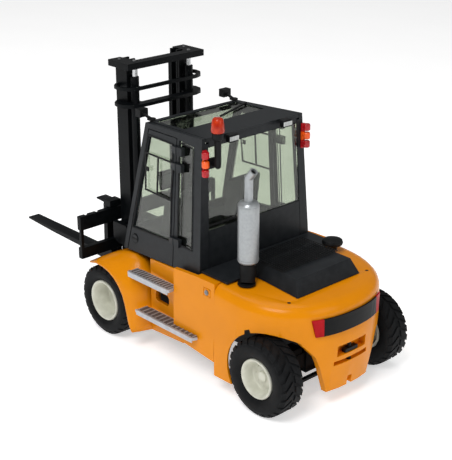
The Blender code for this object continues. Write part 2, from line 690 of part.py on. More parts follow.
# ----------------------------------------------------------------- wheels
def make_tyre(x):
    r = (RIM_FRONT if x > 0 else RIM_REAR) + 0.3
    prof = [(r, 28.2), (13.0, 26.8), (15.6, 27.2), (17.0, 28.6), (17.0, 37.8), (15.6, 39.3),
            (13.0, 39.7), (r, 38.6)]
    return turned(prof, (x, 0, AXLE_Z), "y", 32, math.pi / 2)


def make_rim(x, deep):
    d = 30.6 if deep else 34.4
    r = RIM_FRONT if deep else RIM_REAR
    prof = [(0, d + 1.3), (2.0, d + 1.0), (2.6, d), (6.6, d - 0.5), (r - 1.1, 38.6), (r - 0.6, 39.2),
            (r, 38.7), (r, 28.4), (r - 1.1, 28.2), (r - 2.1, d - 2.0), (3.4, d - 2.2),
            (3.2, 27.6), (2.35, 27.6), (2.35, d - 0.9), (0, d - 0.9)]
    return turned(prof, (x, 0, AXLE_Z), "y", 20, math.pi / 2)


def make_knuckle():
    post = rod((REAR_X, KINGPIN_Y, 12.0), (REAR_X, KINGPIN_Y, 22.0), 2.2, 12)
    pin = rod((REAR_X, KINGPIN_Y, 9.6), (REAR_X, KINGPIN_Y, 24.3), 1.1, 8)
    flange = rod((REAR_X, 23.3, AXLE_Z), (REAR_X, 27.2, AXLE_Z), 3.0, 12)
    stub = rod((REAR_X, 23.3, AXLE_Z), (REAR_X, 32.4, AXLE_Z), 2.0, 10)
    arm = box((REAR_X - STEER_ARM - 1.4, KINGPIN_Y - 1.4, 12.3), (REAR_X, KINGPIN_Y + 1.4, 14.3))
    ball = rod((REAR_X - STEER_ARM, KINGPIN_Y, 9.9), (REAR_X - STEER_ARM, KINGPIN_Y, 13.5), 0.6, 8)
    return union(post, pin, flange, stub, arm, ball)


def make_tie_rod():
    x = REAR_X - STEER_ARM
    y = KINGPIN_Y
    bar = box((x - 0.9, -y + 1.8, 10.4), (x + 0.9, y - 1.8, 11.7))
    ends = [prism_xy([circle(x, s * y, 2.5, 14), circle(x, s * y, 1.5, 12)], 10.4, 11.7) for s in (1, -1)]
    return union(bar, *ends)


# ------------------------------------------------------------------- mast
LIFT = (18.6, 16.1)      # lift cylinders (x, y)


def make_mast_outer():
    parts = []
    for s in (1, -1):
        rail = [(21.1, 18.7), (29.1, 18.7), (29.1, 12.4), (28.0, 12.4), (28.0, 17.6), (22.2, 17.6),
                (22.2, 12.4), (21.1, 12.4)]
        parts.append(prism_xy([[(x, s * y) for x, y in rail]], 6.0, 124.8))
        parts.append(rod((LIFT[0], s * LIFT[1], 58.0), (LIFT[0], s * LIFT[1], 121.0), 2.0, 12))
        parts.append(box((16.8, min(s * 14.0, s * 18.2), 56.0), (21.6, max(s * 14.0, s * 18.2), 58.4)))
        # shoe round the drive axle
        parts.append(prism_xz([circle(FRONT_X, AXLE_Z, 6.0, 16)], min(s * 17.6, s * 18.7), max(s * 17.6, s * 18.7)))
        # bracket of the tilt cylinder
        plate = [(14.8, 40.9), (24.5, 40.9), (27.25, 43.0), (27.25, 51.0), (17.5, 51.0), (14.8, 47.5)]
        parts.append(prism_xz([plate], min(s * 22.4, s * 24.9), max(s * 22.4, s * 24.9)))
        parts.append(box((22.4, min(s * 18.2, s * 22.8), 43.4), (26.8, max(s * 18.2, s * 22.8), 50.4)))
        parts.append(rod((TILT_L[0], s * 17.1, TILT_L[1]), (TILT_L[0], s * 23.0, TILT_L[1]), 0.9, 8))
    # lower cross plate, wide tie plate and the open strap above it
    parts.append(box((18.2, -18.7, 27.0), (21.6, 18.7, 33.0)))
    lobe = [(27.5, 18.3), (27.5, 20.4), (25.4, 22.8), (22.0, 23.8), (18.4, 23.2), (15.6, 20.9), (14.2, 17.2)]
    both = lobe + [(x, -y) for x, y in reversed(lobe)]
    inside = [(21.5, -18.3), (21.5, -13.2), (18.3, -12.6), (18.3, 12.6), (21.5, 13.2), (21.5, 18.3)]
    parts.append(prism_xy([both + inside], 107.4, 109.0))
    slim = [(26.2, 18.3), (26.2, 20.0), (24.7, 21.6), (22.0, 22.5), (19.1, 22.0), (16.8, 20.1), (15.5, 16.9)]
    parts.append(prism_xy([both + [(x, -y) for x, y in slim] + list(reversed(slim))], 115.4, 117.0))
    for s in (1, -1):
        # clips that tie the strap to the lift cylinders
        parts.append(box((15.0, min(s * 15.3, s * 16.9), 115.4), (17.4, max(s * 15.3, s * 16.9), 117.0)))
    body = union(*parts)
    cuts = []
    for s in (1, -1):
        cuts.append(rod((LIFT[0], s * LIFT[1], 62.0), (LIFT[0], s * LIFT[1], 123.0), 1.4, 10))
        cuts.append(rod((FRONT_X, s * 15.5, AXLE_Z), (FRONT_X, s * 20.5, AXLE_Z), 2.65, 14))
    return minus(body, *cuts)


def make_mast_inner():
    parts = []
    for s in (1, -1):
        rail = [(22.5, 17.3), (27.7, 17.3), (27.7, 12.4), (26.7, 12.4), (26.7, 16.3), (23.5, 16.3),
                (23.5, 12.4), (22.5, 12.4)]
        parts.append(prism_xy([[(x, s * y) for x, y in rail]], 8.0, MAST_TOP))
        parts.append(rod((LIFT[0], s * LIFT[1], 64.0), (LIFT[0], s * LIFT[1], 125.8), 1.0, 8))
    yoke = [(15.0, -22.5), (29.55, -22.5), (29.55, -15.6), (21.6, -15.2), (19.9, -13.4),
            (19.9, 13.4), (21.6, 15.2), (29.55, 15.6), (29.55, 22.5), (15.0, 22.5)]
    parts.append(prism_xy([yoke], 125.2, MAST_TOP))
    parts.append(box((23.5, -13.0, 9.0), (24.6, 13.0, 15.0)))
    return union(*parts)


def along(p, q, t):
    """point t millimetres from p towards q in the x-z plane"""
    d = math.hypot(q[0] - p[0], q[1] - p[1])
    return (p[0] + (q[0] - p[0]) * t / d, p[1] + (q[1] - p[1]) * t / d)


def on_y(p, y=TILT_Y):
    return (p[0], y, p[1])


def make_tilt_barrel():
    tube = rod(on_y(along(TILT_B, TILT_L, 1.0)), on_y(along(TILT_B, TILT_L, 21.5)), 2.4, 12)
    eye = rod(on_y(TILT_B, TILT_Y - 1.7), on_y(TILT_B, TILT_Y + 1.7), 2.5, 12)
    bore = rod(on_y(along(TILT_B, TILT_L, 9.0)), on_y(along(TILT_B, TILT_L, 22.5)), 1.55, 10)
    hole = rod(on_y(TILT_B, TILT_Y - 3.5), on_y(TILT_B, TILT_Y + 3.5), 1.3, 10)
    return minus(union(tube, eye), bore, hole)


def make_tilt_rod():
    bar = rod(on_y(along(TILT_B, TILT_L, 13.0)), on_y(along(TILT_B, TILT_L, 33.4)), 1.1, 10)
    eye = rod(on_y(TILT_L, TILT_Y - 1.6), on_y(TILT_L, TILT_Y + 1.6), 2.1, 12)
    hole = rod(on_y(TILT_L, TILT_Y - 3.5), on_y(TILT_L, TILT_Y + 3.5), 1.35, 10)
    return minus(union(bar, eye), hole)


# --------------------------------------------------------------- carriage
def make_carriage():
    parts = [box((29.6, -CARRIAGE_W, 49.6), (32.4, CARRIAGE_W, 56.4)),
             box((29.6, -CARRIAGE_W, 35.3), (32.4, CARRIAGE_W, 40.7))]
    for s in (1, -1):
        parts.append(box((29.6, min(s * 40.3, s * 41.9), 35.3), (31.2, max(s * 40.3, s * 41.9), 56.4)))
        plate = [(23.2, 37.4), (30.2, 37.4), (30.2, 54.2), (23.2, 54.2)]
        parts.append(prism_xz([plate], min(s * 9.9, s * 12.0), max(s * 9.9, s * 12.0)))
        for z in (39.4, 52.2):
            parts.append(rod((25.1, s * 11.5, z), (25.1, s * 16.0, z), 1.3, 10))
    body = union(*parts)
    cuts = []
    for y in (6.2, 12.4, 31.0, 37.2):
        for s in (1, -1):
            cuts.append(box((31.0, s * y - 0.8, 55.7), (33.0, s * y + 0.8, 57.0)))
    return minus(body, *cuts)


FORK_Y = (17.9, 24.3)


def make_fork():
    prof = [(29.9, 56.7), (32.7, 56.7), (32.7, 35.0), (30.2, 35.0), (30.2, 33.2), (31.2, 30.6), (34.5, 28.6),
            (56.4, 29.2), (80.0, 29.8), (101.6, 30.9), (FORK_TIP, 31.2), (FORK_TIP, 31.5), (101.8, 31.85),
            (37.4, 31.85), (35.9, 33.4), (35.3, 57.5), (34.4, 59.9), (29.9, 59.9)]
    f = prism_xz([prof], *FORK_Y)
    corners = [prism_xy([[(101.4, y), (104, y), (104, y + s * 1.4)]], 25, 35)
               for y, s in ((FORK_Y[0] - 0.2, 1), (FORK_Y[1] + 0.2, -1))]
    return minus(f, *corners)


def make_fork_right():
    # the right fork stands two millimetres further out on the carriage
    bm = mirrored(make_fork())
    for v in bm.verts:
        v.co.y -= 2.0
    return bm


# ------------------------------------------------------------------ build
def main():
    for ob in list(bpy.data.objects):
        bpy.data.objects.remove(ob, do_unlink=True)

    put("chassis_frame", make_frame(), BLACK, "black paint")
    pair("fender", make_fender, YELLOW, "yellow paint", smooth=35)
    pair("body_side", make_body_side, YELLOW, "yellow paint")
    put("counterweight", make_counterweight(), YELLOW, "yellow paint", smooth=35)
    put("engine_hood", make_hood(), BLACK, "black plastic")

    put("cab_tub", make_cab_tub(), CABGREY, "cab grey")
    pair("cab_side", make_cab_side, CABGREY, "cab grey")
    put("cab_roof", make_roof(), CABGREY, "cab grey")
    put("windscreen", make_windscreen(), CLEAR, "clear glass")
    put("rear_window", make_rear_window(), CLEAR, "clear glass")
    put("roof_glass", make_roof_glass(), CLEAR, "clear glass")
    pair("quarter_glass", make_quarter_glass, CLEAR, "clear glass")
    hp = hinge_point(75.0)
    pair("door", make_door, CABGREY, "cab grey", pivot=hp)
    pair("door_glass", make_door_glass, CLEAR, "clear glass", pivot=hp)

    put("driver_seat", make_seat(), SEAT, "seat")
    put("dashboard", make_dashboard(), SEAT, "dashboard")
    put("steering_wheel", make_steering_wheel(), BLACK, "black plastic", pivot=WHEEL_C, smooth=40)

    put("exhaust_muffler", make_muffler(), SILVER, "silver paint", smooth=35)
    put("exhaust_elbow", make_elbow(), BLACK, "black plastic", smooth=35)
    put("air_precleaner", make_precleaner(), BLACK, "black plastic", smooth=35)
    put("beacon_pole", make_beacon_pole(), BLACK, "black plastic", smooth=35)
    put("beacon_lens", make_beacon_lens(), AMBER, "amber lens", smooth=35)
    pair("rear_work_light", make_rear_light, BLACK, "black plastic")
    pair("front_work_light", make_front_light, BLACK, "black plastic")
    pair("tail_lamp", make_tail_lamp, RED, "red lens", smooth=35)
    put("rear_light_bar", make_light_bar(), RED, "red lens", smooth=35)
    put("tow_pin", make_tow_pin(), BLACK, "black plastic", pivot=(-100.7, 0, 24))

    pair("upper_step", make_upper_step, SILVER, "silver paint")
    pair("lower_step", make_lower_step, SILVER, "silver paint")

    for tag, x, deep in (("front", FRONT_X, True), ("rear", REAR_X, False)):
        pair("rim_" + tag, lambda: make_rim(x, deep), CREAM, "cream rim", pivot=(x, 33.0, AXLE_Z), smooth=35)
        pair("tyre_" + tag, lambda: make_tyre(x), RUBBER, "tyre rubber", pivot=(x, 33.0, AXLE_Z), smooth=35)
    pair("steer_knuckle", make_knuckle, BLACK, "black paint", pivot=(REAR_X, KINGPIN_Y, AXLE_Z))
    put("tie_rod", make_tie_rod(), BLACK, "black paint", pivot=(REAR_X - STEER_ARM, 0, 11))

    mast_pivot = (FRONT_X, 0, AXLE_Z)
    put("mast_outer", make_mast_outer(), BLACK, "black paint", pivot=mast_pivot)
    put("mast_inner", make_mast_inner(), BLACK, "black paint", pivot=mast_pivot)
    pair("tilt_barrel", make_tilt_barrel, BLACK, "black paint", pivot=on_y(TILT_B), smooth=35)
    pair("tilt_rod", make_tilt_rod, STEEL, "bright steel", pivot=on_y(TILT_B), smooth=35)
    put("carriage", make_carriage(), BLACK, "black paint", pivot=(29.6, 0, 35.3))
    put("fork_left", make_fork(), BLACK, "black paint", pivot=(32.7, 21.1, 31.85))
    put("fork_right", make_fork_right(), BLACK, "black paint", pivot=(32.7, -23.1, 31.85))


main()
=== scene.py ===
import bpy
import bmesh
import json
import math
from mathutils import Vector, Matrix


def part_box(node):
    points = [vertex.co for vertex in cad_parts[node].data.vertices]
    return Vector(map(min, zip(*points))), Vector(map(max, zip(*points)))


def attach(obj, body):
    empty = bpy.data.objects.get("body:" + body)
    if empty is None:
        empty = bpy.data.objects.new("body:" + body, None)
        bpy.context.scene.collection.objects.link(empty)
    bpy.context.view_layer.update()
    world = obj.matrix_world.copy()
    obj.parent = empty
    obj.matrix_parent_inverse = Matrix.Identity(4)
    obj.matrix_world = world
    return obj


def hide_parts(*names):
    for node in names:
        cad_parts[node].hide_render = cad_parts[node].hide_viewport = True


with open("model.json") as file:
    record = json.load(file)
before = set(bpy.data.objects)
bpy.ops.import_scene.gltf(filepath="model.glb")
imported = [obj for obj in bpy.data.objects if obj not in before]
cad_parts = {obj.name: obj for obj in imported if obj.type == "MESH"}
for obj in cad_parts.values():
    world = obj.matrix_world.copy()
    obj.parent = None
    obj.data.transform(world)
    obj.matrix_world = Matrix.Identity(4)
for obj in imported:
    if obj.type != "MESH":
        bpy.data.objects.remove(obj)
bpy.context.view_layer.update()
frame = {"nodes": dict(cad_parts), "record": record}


REC = frame["record"]
SLOT = {s["node"]: s["material_slot"] for s in REC["subparts"]}
BODY = {n: b for b, ns in REC["behaviour"]["bodies"].items() for n in ns}
MM = 0.001

# the drawing datum, found from the front tyre
_lo, _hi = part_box("tyre_front_left")
FRONT_X, REAR_X = 18.05, -84.75
DX = (_lo[0] + _hi[0]) / 2 / MM - FRONT_X
AXLE_Z = (_lo[2] + _hi[2]) / 2 / MM
TYRE_R = (_hi[2] - _lo[2]) / 2 / MM


def at(x, y, z):
    return Vector(((x + DX) * MM, y * MM, z * MM))


def mmbox(node):
    lo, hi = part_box(node)
    return ([lo[0] / MM - DX, lo[1] / MM, lo[2] / MM], [hi[0] / MM - DX, hi[1] / MM, hi[2] / MM])


# -------------------------------------------------------------- materials
def surface(name, dark, light, rough=(0.3, 0.4), metal=0.0, grain=300.0, bump=0.08, coat=0.0,
            alpha=1.0, fine=2600.0, brushed=None, glow=None, dust=0.0, spec=0.3, zones=None):
    """Principled surface whose colour, roughness and relief all vary over it"""
    m = bpy.data.materials.new(name)
    m.use_nodes = True
    nt = m.node_tree
    n, l = nt.nodes, nt.links
    p = n["Principled BSDF"]
    tc = n.new("ShaderNodeTexCoord")
    src = tc.outputs["Object"]
    if brushed:
        mp = n.new("ShaderNodeMapping")
        mp.inputs["Scale"].default_value = brushed
        l.new(src, mp.inputs["Vector"])
        src = mp.outputs["Vector"]
    big = n.new("ShaderNodeTexNoise")
    big.inputs["Scale"].default_value = grain
    big.inputs["Detail"].default_value = 4.0
    l.new(src, big.inputs["Vector"])
    ramp = n.new("ShaderNodeValToRGB")
    ramp.color_ramp.elements[0].position = 0.32
    ramp.color_ramp.elements[0].color = (*dark, 1)
    ramp.color_ramp.elements[1].position = 0.68
    ramp.color_ramp.elements[1].color = (*light, 1)
    l.new(big.outputs["Fac"], ramp.inputs["Fac"])
    colour = ramp.outputs["Color"]
    if zones:
        # a second colour between two distances along one axis of the object
        axis, near, far, other = zones
        cut = n.new("ShaderNodeSeparateXYZ")
        l.new(tc.outputs["Object"], cut.inputs[0])
        dist = n.new("ShaderNodeMath")
        dist.operation = "ABSOLUTE"
        l.new(cut.outputs[axis], dist.inputs[0])
        lowest = n.new("ShaderNodeMath")
        lowest.operation = "GREATER_THAN"
        lowest.inputs[1].default_value = near
        highest = n.new("ShaderNodeMath")
        highest.operation = "LESS_THAN"
        highest.inputs[1].default_value = far
        both = n.new("ShaderNodeMath")
        both.operation = "MULTIPLY"
        for k, q in enumerate((lowest, highest)):
            l.new(dist.outputs[0], q.inputs[0])
            l.new(q.outputs[0], both.inputs[k])
        zone = n.new("ShaderNodeMixRGB")
        zone.inputs["Color2"].default_value = (*other, 1)
        l.new(both.outputs[0], zone.inputs["Fac"])
        l.new(colour, zone.inputs["Color1"])
        colour = zone.outputs["Color"]
    if dust:
        # a little pale dust lies on what faces upwards
        geo = n.new("ShaderNodeNewGeometry")
        sep = n.new("ShaderNodeSeparateXYZ")
        l.new(geo.outputs["Normal"], sep.inputs[0])
        mul = n.new("ShaderNodeMath")
        mul.operation = "MULTIPLY"
        mul.use_clamp = True
        mul.inputs[1].default_value = dust
        l.new(sep.outputs["Z"], mul.inputs[0])
        mix = n.new("ShaderNodeMixRGB")
        mix.inputs["Color2"].default_value = (0.35, 0.35, 0.34, 1)
        l.new(mul.outputs[0], mix.inputs["Fac"])
        l.new(colour, mix.inputs["Color1"])
        colour = mix.outputs["Color"]
    l.new(colour, p.inputs["Base Color"])
    mr = n.new("ShaderNodeMapRange")
    mr.inputs["To Min"].default_value = rough[0]
    mr.inputs["To Max"].default_value = rough[1]
    l.new(big.outputs["Fac"], mr.inputs["Value"])
    l.new(mr.outputs["Result"], p.inputs["Roughness"])
    small = n.new("ShaderNodeTexNoise")
    small.inputs["Scale"].default_value = fine
    small.inputs["Detail"].default_value = 2.0
    l.new(src, small.inputs["Vector"])
    bp = n.new("ShaderNodeBump")
    bp.inputs["Strength"].default_value = bump
    bp.inputs["Distance"].default_value = 0.0001
    l.new(small.outputs["Fac"], bp.inputs["Height"])
    l.new(bp.outputs["Normal"], p.inputs["Normal"])
    p.inputs["Metallic"].default_value = metal
    p.inputs["Alpha"].default_value = alpha
    p.inputs["Specular IOR Level"].default_value = spec
    p.inputs["Coat Weight"].default_value = coat
    p.inputs["Coat Roughness"].default_value = 0.08
    if glow:
        p.inputs["Emission Color"].default_value = (*glow, 1)
        p.inputs["Emission Strength"].default_value = 0.12
    return m


M = {
    "yellow_paint": surface("gloss_yellow", (0.725, 0.240, 0.0006), (0.765, 0.256, 0.0008), (0.22, 0.28), grain=90, bump=0.03, coat=0.06, spec=0.15),
    "black_paint": surface("satin_black", (0.0022, 0.0028, 0.0034), (0.0050, 0.0060, 0.0070), (0.34, 0.46), bump=0.14, spec=0.09),
    "cab_grey": surface("cab_grey_satin", (0.0105, 0.0125, 0.0145), (0.0170, 0.0195, 0.0220), (0.36, 0.48), bump=0.12, spec=0.2),
    "black_plastic": surface("moulded_black", (0.0040, 0.0044, 0.0048), (0.0085, 0.0090, 0.0096), (0.44, 0.58), bump=0.25, spec=0.16),
    "clear_glass": surface("clear_glazing", (0.58, 0.635, 0.54), (0.63, 0.675, 0.585), (0.0, 0.02), grain=60, bump=0.0, spec=0.4),
    "seat": surface("seat_vinyl", (0.012, 0.013, 0.014), (0.024, 0.026, 0.027), (0.55, 0.7), bump=0.5, fine=3400),
    "dashboard": surface("dash_plastic", (0.012, 0.013, 0.014), (0.020, 0.022, 0.023), (0.5, 0.62), bump=0.35),
    "silver_paint": surface("silver_can", (0.33, 0.35, 0.36), (0.38, 0.40, 0.41), (0.30, 0.38), metal=0.55, grain=900, bump=0.06),
    "amber_lens": surface("beacon_lens_plastic", (0.30, 0.010, 0.003), (0.56, 0.040, 0.006), (0.14, 0.24), grain=420, coat=0.1, bump=0.1, spec=0.25),
    "red_lens": surface("red_lens_plastic", (0.32, 0.004, 0.010), (0.46, 0.008, 0.018), (0.12, 0.2), coat=0.3, bump=0.1),
    "cream_rim": surface("cream_enamel", (0.56, 0.56, 0.47), (0.66, 0.66, 0.57), (0.3, 0.42), bump=0.05, coat=0.1),
    "tyre_rubber": surface("tyre_compound", (0.0040, 0.0044, 0.0050), (0.0090, 0.0096, 0.0104), (0.55, 0.72), bump=0.4, spec=0.12),
    "bright_steel": surface("steel_brushed", (0.50, 0.51, 0.52), (0.68, 0.69, 0.70), (0.18, 0.34), metal=1.0, brushed=(1, 1, 12), bump=0.08),
}
M["clear_glass"].node_tree.nodes["Principled BSDF"].inputs["Transmission Weight"].default_value = 1.0
ALU = surface("tread_aluminium", (0.40, 0.41, 0.43), (0.50, 0.51, 0.53), (0.3, 0.45), metal=0.4, bump=0.1)
TREAD = surface("tread_recess", (0.085, 0.070, 0.066), (0.130, 0.110, 0.105), (0.5, 0.65), bump=0.3)
WHITE_LENS = surface("lamp_glass_white", (0.50, 0.52, 0.51), (0.64, 0.66, 0.65), (0.08, 0.2), coat=0.3, bump=0.05)
SCREEN = surface("display_face", (0.06, 0.085, 0.07), (0.09, 0.12, 0.10), (0.15, 0.25), coat=0.3, bump=0.03)
# seal rubber black, also given to the painted shade in the exhaust bore and in the lifting holes
SEAL_AND_SHADE = surface("seal_rubber_and_painted_shade", (0.0035, 0.0038, 0.0042), (0.0070, 0.0075, 0.0080), (0.5, 0.65), bump=0.3, spec=0.25)
LOCK = surface("lock_grey", (0.18, 0.185, 0.19), (0.28, 0.285, 0.29), (0.3, 0.45), metal=0.5, bump=0.15)
# black middle, red ends; and red, orange, red from the bottom up
BAND = surface("rear_band", (0.34, 0.002, 0.006), (0.44, 0.005, 0.011), (0.34, 0.44), bump=0.06, spec=0.12,
               zones=("Y", -1.0, 0.0162, (0.0042, 0.0044, 0.0048)))
_a, _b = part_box("tail_lamp_left")
_h = (_b[2] - _a[2]) / 3
TAIL = surface("tail_lens_stack", (0.36, 0.002, 0.006), (0.48, 0.005, 0.011), (0.12, 0.2), coat=0.25, bump=0.1,
               zones=("Z", _a[2] + _h, _a[2] + 2 * _h, (0.86, 0.105, 0.004)))


def dress(ob, mat):
    ob.data.materials.clear()
    ob.data.materials.append(mat)


# --------------------------------------------------------------- builders
def finish_piece(name, bm, mat, body, bevel=0.12, smooth=35, seg=2):
    me = bpy.data.meshes.new(name)
    bmesh.ops.recalc_face_normals(bm, faces=bm.faces[:])
    bm.to_mesh(me)
    bm.free()
    me.shade_smooth()
    me.set_sharp_from_angle(angle=math.radians(smooth))
    ob = bpy.data.objects.new(name, me)
    bpy.context.scene.collection.objects.link(ob)
    if bevel:
        mod = ob.modifiers.new("edge", "BEVEL")
        mod.width = bevel * MM
        mod.segments = seg
        mod.limit_method = "ANGLE"
        mod.angle_limit = math.radians(32)
        mod.harden_normals = True
    dress(ob, mat)
    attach(ob, body)
    return ob


def refined(node, bevel=0.3, mat=None, smooth=32, dissolve=True):
    """the CAD shape with its edges eased, in place of the plain solid"""
    src = frame["nodes"][node]
    bm = bmesh.new()
    bm.from_mesh(src.data)
    bmesh.ops.remove_doubles(bm, verts=bm.verts[:], dist=2e-6)
    if dissolve:
        bmesh.ops.dissolve_limit(bm, angle_limit=math.radians(1.0), verts=bm.verts[:], edges=bm.edges[:])
    ob = finish_piece(node + "_finished", bm, mat or M[SLOT[node]], BODY[node], bevel, smooth)
    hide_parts(node)
    return ob


def add_box(bm, lo, hi, rot=None, about=None):
    vs = bmesh.ops.create_cube(bm, size=1.0)["verts"]
    a, b = Vector(lo), Vector(hi)
    c, s = (a + b) / 2, b - a
    for v in vs:
        v.co = Vector((v.co.x * s.x, v.co.y * s.y, v.co.z * s.z)) + c
    if rot is not None:
        bmesh.ops.rotate(bm, verts=vs, cent=Vector(about or c), matrix=rot)
    for v in vs:
        v.co = at(*v.co)
    return vs


def add_rod(bm, p0, p1, r, n=24, r1=None):
    p0, p1 = Vector(p0), Vector(p1)
    d = p1 - p0
    q = d.to_track_quat("Z", "Y").to_matrix().to_4x4()
    mat = Matrix.Translation((p0 + p1) / 2) @ q
    vs = bmesh.ops.create_cone(bm, cap_ends=True, segments=n, radius1=r, radius2=r if r1 is None else r1,
                               depth=d.length, matrix=mat)["verts"]
    for v in vs:
        v.co = at(*v.co)
    return vs


def add_bar(bm, p0, p1, out, width, thick):
    """flat bar from p0 to p1 lying against a wall whose outward side is `out`"""
    p0, p1, out = Vector(p0), Vector(p1), Vector(out).normalized()
    d = (p1 - p0).normalized()
    w = d.cross(out).normalized()
    e = d * (width / 2)
    a, b = p0 - e, p1 + e
    pts = []
    for p in (a, b):
        for sw, so in ((-1, -0.3), (1, -0.3), (1, 1), (-1, 1)):
            pts.append(p + w * (sw * width / 2) + out * (so * thick))
    vs = [bm.verts.new(at(*p)) for p in pts]
    for f in ((0, 1, 2, 3), (7, 6, 5, 4), (0, 4, 5, 1), (1, 5, 6, 2), (2, 6, 7, 3), (3, 7, 4, 0)):
        bm.faces.new([vs[i] for i in f])


def add_turned(bm, prof, cx, cz, side, n=72):
    """surface of revolution about a line along Y; prof = (radius, |y|)"""
    rows = []
    for r, y in prof:
        if r < 1e-6:
            rows.append([bm.verts.new(at(cx, side * y, cz))])
        else:
            rows.append([bm.verts.new(at(cx + r * math.cos(2 * math.pi * i / n), side * y,
                                         cz + r * math.sin(2 * math.pi * i / n))) for i in range(n)])
    pairs = list(zip(rows, rows[1:]))
    if len(rows[0]) > 1 and len(rows[-1]) > 1:
        pairs.append((rows[-1], rows[0]))
    for a, b in pairs:
        for i in range(n):
            j = (i + 1) % n
            if len(a) == 1:
                bm.faces.new((a[0], b[j], b[i]))
            elif len(b) == 1:
                bm.faces.new((a[i], a[j], b[0]))
            else:
                bm.faces.new((a[i], a[j], b[j], b[i]))


def cab_y(x, z):
    return 33.7 - 0.0595 * (x + 44.75) - 0.063 * (z - 47.8)


SIDES = (("left", 1), ("right", -1))

# ----------------------------------------------- CAD shapes with eased edges
WHEELS = [("front", FRONT_X), ("rear", REAR_X)]
SPECIAL = {"driver_seat"} | {"%s_%s_%s" % (k, e, s) for k in ("rim", "tyre") for e in ("front", "rear") for s, _ in SIDES}
GLASS = {n for n in SLOT if SLOT[n] == "clear_glass"}
SMALL = {"beacon_pole", "beacon_lens", "tow_pin", "tie_rod", "steering_wheel", "exhaust_elbow",
         "air_precleaner", "tail_lamp_left", "tail_lamp_right", "rear_light_bar"}
for node in sorted(SLOT):
    if node in SPECIAL:
        continue
    if node in GLASS:
        dress(frame["nodes"][node], M["clear_glass"])
        continue
    mat = M[SLOT[node]]
    if "step" in node:
        mat = ALU
    if node == "rear_light_bar":
        mat = BAND
    if node.startswith("tail_lamp"):
        mat = TAIL
    if node == "engine_hood":
        mat = M["cab_grey"]
    if node.startswith("fender"):
        refined(node, 0.0, mat, smooth=55, dissolve=False)
        continue
    refined(node, 0.12 if node in SMALL else 0.28, mat)

# ------------------------------------------------------------------- tyres
for end, cx in WHEELS:
    for s, sg in SIDES:
        node = "tyre_%s_%s" % (end, s)
        lo, hi = mmbox(node)
        y0, y1 = sorted((abs(lo[1]), abs(hi[1])))
        rim_lo, rim_hi = mmbox("rim_%s_%s" % (end, s))
        bead = (rim_hi[2] - rim_lo[2]) / 2 + 0.3
        R = TYRE_R
        mid = (y0 + y1) / 2
        bm = bmesh.new()
        prof = [(bead, y0 + 1.5), (bead + 0.9, y0 + 0.7), (12.2, y0 + 0.1), (13.8, y0), (15.0, y0 + 0.35),
                (R - 0.8, y0 + 1.7), (R - 0.6, y0 + 3.0), (R - 0.55, mid), (R - 0.6, y1 - 3.0), (R - 0.8, y1 - 1.7),
                (15.0, y1 - 0.35), (13.8, y1), (12.2, y1 - 0.1), (bead + 1.5, y1 - 0.35), (bead + 1.2, y1 - 0.6),
                (bead + 0.6, y1 - 0.8), (bead, y1 - 1.3)]
        add_turned(bm, prof, cx, AXLE_Z, sg, 96)
        lugs = 24
        for k in range(lugs):
            for half in (0, 1):
                a0 = 2 * math.pi * (k + 0.5 * half) / lugs
                w = 2 * math.pi / lugs * 0.34
                # from the middle of the tread, slanting out and down over the shoulder
                path = ([(mid + 0.7, 0.0, R), (mid + 3.0, 0.10, R), (y1 - 1.6, 0.20, R - 0.1), (y1 - 0.35, 0.24, R - 1.6)]
                        if half else
                        [(mid - 0.7, 0.0, R), (mid - 3.0, 0.10, R), (y0 + 1.6, 0.20, R - 0.1), (y0 + 0.35, 0.24, R - 1.6)])
                rows = []
                for y, da, r in path:
                    row = []
                    for q, rr in ((-1, r), (1, r), (1, r - 1.3), (-1, r - 1.3)):
                        a = a0 + da + q * w
                        row.append(bm.verts.new(at(cx + rr * math.cos(a), sg * y, AXLE_Z + rr * math.sin(a))))
                    rows.append(row)
                bm.faces.new(rows[0])
                bm.faces.new(list(reversed(rows[-1])))
                for a, b in zip(rows, rows[1:]):
                    for i in range(4):
                        j = (i + 1) % 4
                        bm.faces.new((a[i], a[j], b[j], b[i]))
        ob = finish_piece(node + "_lugged", bm, M["tyre_rubber"], BODY[node], 0.0, 38)
        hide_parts(node)

        # ---------------------------------------------------------------- rim
        node = "rim_%s_%s" % (end, s)
        Rr = bead - 0.3
        d = 30.6 if end == "front" else 34.4
        bm = bmesh.new()
        prof = [(0, d + 1.5), (1.4, d + 1.45), (2.1, d + 1.1), (2.5, d + 0.2), (3.1, d), (Rr - 2.7, d - 0.4),
                (Rr - 2.2, d + 0.1), (Rr - 1.5, 38.0), (Rr - 1.2, 38.6), (Rr - 0.7, 39.1), (Rr - 0.3, 39.1),
                (Rr, 38.7), (Rr, 28.4), (Rr - 1.1, 28.2), (Rr - 2.1, d - 2.0), (3.4, d - 2.2), (2.4, d - 0.9), (0, d - 0.9)]
        add_turned(bm, prof, cx, AXLE_Z, sg)
        rb = (3.1 + Rr - 2.7) / 2
        for k in range(8):
            a = 2 * math.pi * k / 8
            x, z = cx + rb * math.cos(a), AXLE_Z + rb * math.sin(a)
            add_rod(bm, (x, sg * (d - 0.6), z), (x, sg * (d + 0.08), z), 0.36, 6)
        ob = finish_piece(node + "_dished", bm, M["cream_rim"], BODY[node], 0.05, 38)
        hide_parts(node)

